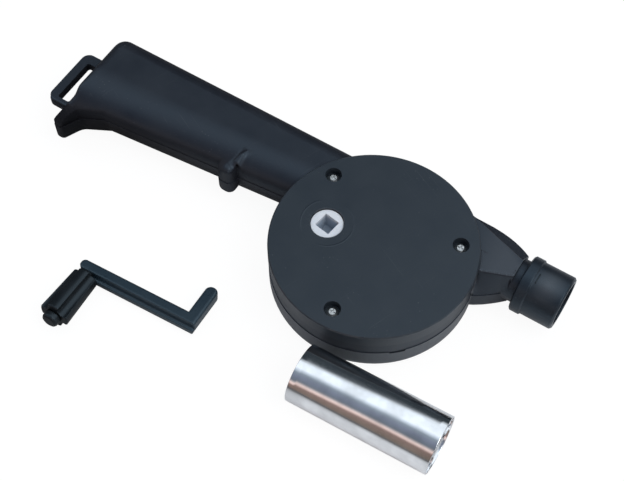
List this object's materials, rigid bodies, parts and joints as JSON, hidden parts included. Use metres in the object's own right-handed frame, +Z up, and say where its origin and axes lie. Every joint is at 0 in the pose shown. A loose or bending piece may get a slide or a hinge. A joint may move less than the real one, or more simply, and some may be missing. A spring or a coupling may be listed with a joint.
{
  "type": "hand crank fan",
  "caption": "Hand crank air blower: flat round gear housing with handle, lanyard loop and outlet collar, laid out with its loose crank and steel blow tube.",
  "frame": {"origin": "on the drum's axis, at the surface the housing lies on, at the middle of its back face", "axes": "+X from the handle towards the outlet, +Y towards the straight side of the handle, +Z up along the drum's axis, out of the gear cover"},
  "size_m": [0.2692, 0.1514, 0.0315],
  "materials": {
    "shell_black": "fine moulded texture",
    "cover_black": "satin moulded",
    "collar_black": "satin moulded",
    "crank_black": "semi-gloss moulded",
    "grip_black": "satin moulded",
    "nylon_white": "natural nylon",
    "fan_plastic": "moulded",
    "zinc_steel": "bright zinc plated",
    "shaft_steel": "ground",
    "bronze": "sintered bronze",
    "polished_steel": "polished stainless"
  },
  "bodies": {
    "housing": {"front_housing": "shell_black", "rear_housing": "shell_black", "gear_cover": "cover_black", "cover_screws": "zinc_steel", "housing_screws": "zinc_steel", "outlet_collar": "collar_black", "rear_bush": "bronze", "front_bush": "bronze", "idler_pin": "shaft_steel", "idler_clip": "shaft_steel"},
    "fan": {"impeller": "fan_plastic", "impeller_shaft": "shaft_steel", "impeller_pinion": "nylon_white", "thrust_washers": "shaft_steel"},
    "idler": {"idler_gear": "nylon_white"},
    "drive": {"drive_gear": "nylon_white"},
    "crank": {"crank_arm": "crank_black", "grip_pin": "grip_black"},
    "grip": {"crank_grip": "grip_black"},
    "tube": {"blow_tube": "polished_steel"}
  },
  "joints": [
    {"name": "fan_spin", "type": "hinge", "parent": "housing", "child": "fan", "pos_m": [0, 0, 0.012], "axis": [0, 0, -1], "continuous": true},
    {"name": "idler_spin", "type": "hinge", "parent": "housing", "child": "idler", "pos_m": [-0.00537, -0.01592, 0.0224], "axis": [0, 0, -1], "continuous": true},
    {"name": "drive_spin", "type": "hinge", "parent": "housing", "child": "drive", "pos_m": [-0.02327, -0.00245, 0.0265], "axis": [0, 0, -1], "continuous": true},
    {"name": "crank_lift", "type": "slide", "parent": "housing", "child": "crank", "axis": [0, 0, 1], "range_m": [0, 0.08]},
    {"name": "grip_spin", "type": "hinge", "parent": "crank", "child": "grip", "pos_m": [-0.10993, -0.08558, 0.00768], "axis": [0.0553, -0.9899, 0.1307], "continuous": true},
    {"name": "tube_lift", "type": "slide", "parent": "housing", "child": "tube", "axis": [0, 0, 1], "range_m": [0, 0.08]}
  ],
  "couplings": [
    {"joint": "idler_spin", "follows": "fan_spin", "ratio": -0.3125},
    {"joint": "drive_spin", "follows": "fan_spin", "ratio": 0.085227}
  ]
}
